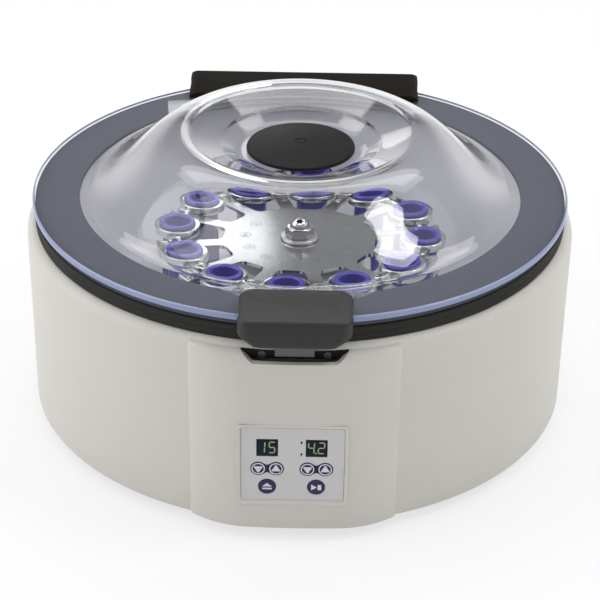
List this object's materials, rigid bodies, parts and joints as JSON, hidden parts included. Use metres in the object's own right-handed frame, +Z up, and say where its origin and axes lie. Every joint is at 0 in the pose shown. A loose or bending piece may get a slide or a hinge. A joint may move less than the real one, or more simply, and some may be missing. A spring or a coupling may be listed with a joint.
{
  "type": "bench centrifuge",
  "caption": "Round bench centrifuge with a clear hinged dome lid, a swing-out rotor of tube holders in a bowl and a front panel of displays and keys.",
  "frame": {"origin": "on the rotor's axis, in the plane that the feet stand on", "axes": "+Z up along the rotor's axis, -Y towards the front with the handle and the control panel, +X to the right as seen from the front"},
  "size_m": [0.37, 0.391, 0.199],
  "materials": {
    "white_plastic": "off-white moulded plastic, satin",
    "black_plastic": "black moulded plastic, satin",
    "clear_plastic": "clear polycarbonate with a pale blue edge, glossy",
    "rubber": "black rubber, matt",
    "grey_plastic": "light grey, satin",
    "satin_steel": "satin stainless steel",
    "chrome": "polished metal",
    "blue_plastic": "translucent blue-violet plastic, satin",
    "panel_film": "pale grey panel film",
    "display_glass": "dark glossy display window",
    "key_blue": "dark blue membrane key",
    "dark_metal": "dark painted metal",
    "board": "green circuit board"
  },
  "bodies": {
    "housing": {"outer_casing": "white_plastic", "base_plate": "dark_metal", "foot_front_left": "rubber", "foot_front_right": "rubber", "foot_back_left": "rubber", "foot_back_right": "rubber", "chamber_wall": "grey_plastic", "chamber_floor": "grey_plastic", "rim_seal": "rubber", "motor": "dark_metal", "vibration_ring": "rubber", "hinge_bracket": "black_plastic", "hinge_pin": "satin_steel", "latch_insert": "black_plastic", "control_panel": "panel_film", "time_display": "display_glass", "speed_display": "display_glass", "control_board": "board", "power_inlet": "black_plastic"},
    "lid": {"lid_dome": "clear_plastic", "lid_gasket": "rubber", "lid_cap": "black_plastic", "lid_handle": "black_plastic", "latch_strap": "satin_steel", "hinge_cover": "black_plastic"},
    "rotor": {"motor_shaft": "satin_steel", "rotor_plate": "satin_steel", "rotor_washer": "satin_steel", "rotor_nut": "chrome"},
    "bucket_01": {"carrier_01": "chrome", "sleeve_01": "blue_plastic"},
    "bucket_02": {"carrier_02": "chrome", "sleeve_02": "blue_plastic"},
    "bucket_03": {"carrier_03": "chrome", "sleeve_03": "blue_plastic"},
    "bucket_04": {"carrier_04": "chrome", "sleeve_04": "blue_plastic"},
    "bucket_05": {"carrier_05": "chrome", "sleeve_05": "blue_plastic"},
    "bucket_06": {"carrier_06": "chrome", "sleeve_06": "blue_plastic"},
    "bucket_07": {"carrier_07": "chrome", "sleeve_07": "blue_plastic"},
    "bucket_08": {"carrier_08": "chrome", "sleeve_08": "blue_plastic"},
    "bucket_09": {"carrier_09": "chrome", "sleeve_09": "blue_plastic"},
    "bucket_10": {"carrier_10": "chrome", "sleeve_10": "blue_plastic"},
    "bucket_11": {"carrier_11": "chrome", "sleeve_11": "blue_plastic"},
    "bucket_12": {"carrier_12": "chrome", "sleeve_12": "blue_plastic"},
    "time_down_key": {"time_down_key": "key_blue"},
    "time_up_key": {"time_up_key": "key_blue"},
    "speed_down_key": {"speed_down_key": "key_blue"},
    "speed_up_key": {"speed_up_key": "key_blue"},
    "open_key": {"open_key": "key_blue"},
    "start_key": {"start_key": "key_blue"},
    "power_switch": {"power_switch": "black_plastic"}
  },
  "joints": [
    {"name": "lid_hinge", "type": "hinge", "parent": "housing", "child": "lid", "pos_m": [0, 0.1903, 0.15], "axis": [-1, 0, 0], "range_deg": [0, 95]},
    {"name": "rotor_spin", "type": "hinge", "parent": "housing", "child": "rotor", "pos_m": [0, 0, 0.116], "axis": [0, 0, 1], "continuous": true},
    {"name": "bucket_swing_01", "type": "hinge", "parent": "rotor", "child": "bucket_01", "pos_m": [-0.00741, -0.08468, 0.1182], "axis": [-0.9962, 0.0872, 0], "range_deg": [0, 90]},
    {"name": "bucket_swing_02", "type": "hinge", "parent": "rotor", "child": "bucket_02", "pos_m": [0.03592, -0.07704, 0.1182], "axis": [-0.9063, -0.4226, 0], "range_deg": [0, 90]},
    {"name": "bucket_swing_03", "type": "hinge", "parent": "rotor", "child": "bucket_03", "pos_m": [0.06963, -0.04875, 0.1182], "axis": [-0.5736, -0.8192, 0], "range_deg": [0, 90]},
    {"name": "bucket_swing_04", "type": "hinge", "parent": "rotor", "child": "bucket_04", "pos_m": [0.08468, -0.00741, 0.1182], "axis": [-0.0872, -0.9962, 0], "range_deg": [0, 90]},
    {"name": "bucket_swing_05", "type": "hinge", "parent": "rotor", "child": "bucket_05", "pos_m": [0.07704, 0.03592, 0.1182], "axis": [0.4226, -0.9063, 0], "range_deg": [0, 90]},
    {"name": "bucket_swing_06", "type": "hinge", "parent": "rotor", "child": "bucket_06", "pos_m": [0.04875, 0.06963, 0.1182], "axis": [0.8192, -0.5736, 0], "range_deg": [0, 90]},
    {"name": "bucket_swing_07", "type": "hinge", "parent": "rotor", "child": "bucket_07", "pos_m": [0.00741, 0.08468, 0.1182], "axis": [0.9962, -0.0872, 0], "range_deg": [0, 90]},
    {"name": "bucket_swing_08", "type": "hinge", "parent": "rotor", "child": "bucket_08", "pos_m": [-0.03592, 0.07704, 0.1182], "axis": [0.9063, 0.4226, 0], "range_deg": [0, 90]},
    {"name": "bucket_swing_09", "type": "hinge", "parent": "rotor", "child": "bucket_09", "pos_m": [-0.06963, 0.04875, 0.1182], "axis": [0.5736, 0.8192, 0], "range_deg": [0, 90]},
    {"name": "bucket_swing_10", "type": "hinge", "parent": "rotor", "child": "bucket_10", "pos_m": [-0.08468, 0.00741, 0.1182], "axis": [0.0872, 0.9962, 0], "range_deg": [0, 90]},
    {"name": "bucket_swing_11", "type": "hinge", "parent": "rotor", "child": "bucket_11", "pos_m": [-0.07704, -0.03592, 0.1182], "axis": [-0.4226, 0.9063, 0], "range_deg": [0, 90]},
    {"name": "bucket_swing_12", "type": "hinge", "parent": "rotor", "child": "bucket_12", "pos_m": [-0.04875, -0.06963, 0.1182], "axis": [-0.8192, 0.5736, 0], "range_deg": [0, 90]},
    {"name": "time_down_press", "type": "slide", "parent": "housing", "child": "time_down_key", "axis": [0, 1, 0], "range_m": [0, 0.0005], "stiffness_N_per_m": 1500},
    {"name": "time_up_press", "type": "slide", "parent": "housing", "child": "time_up_key", "axis": [0, 1, 0], "range_m": [0, 0.0005], "stiffness_N_per_m": 1500},
    {"name": "speed_down_press", "type": "slide", "parent": "housing", "child": "speed_down_key", "axis": [0, 1, 0], "range_m": [0, 0.0005], "stiffness_N_per_m": 1500},
    {"name": "speed_up_press", "type": "slide", "parent": "housing", "child": "speed_up_key", "axis": [0, 1, 0], "range_m": [0, 0.0005], "stiffness_N_per_m": 1500},
    {"name": "open_press", "type": "slide", "parent": "housing", "child": "open_key", "axis": [0, 1, 0], "range_m": [0, 0.0005], "stiffness_N_per_m": 1500},
    {"name": "start_press", "type": "slide", "parent": "housing", "child": "start_key", "axis": [0, 1, 0], "range_m": [0, 0.0005], "stiffness_N_per_m": 1500},
    {"name": "power_rocker", "type": "hinge", "parent": "housing", "child": "power_switch", "pos_m": [0.019, 0.1845, 0.045], "axis": [1, 0, 0], "range_deg": [0, 16]}
  ]
}
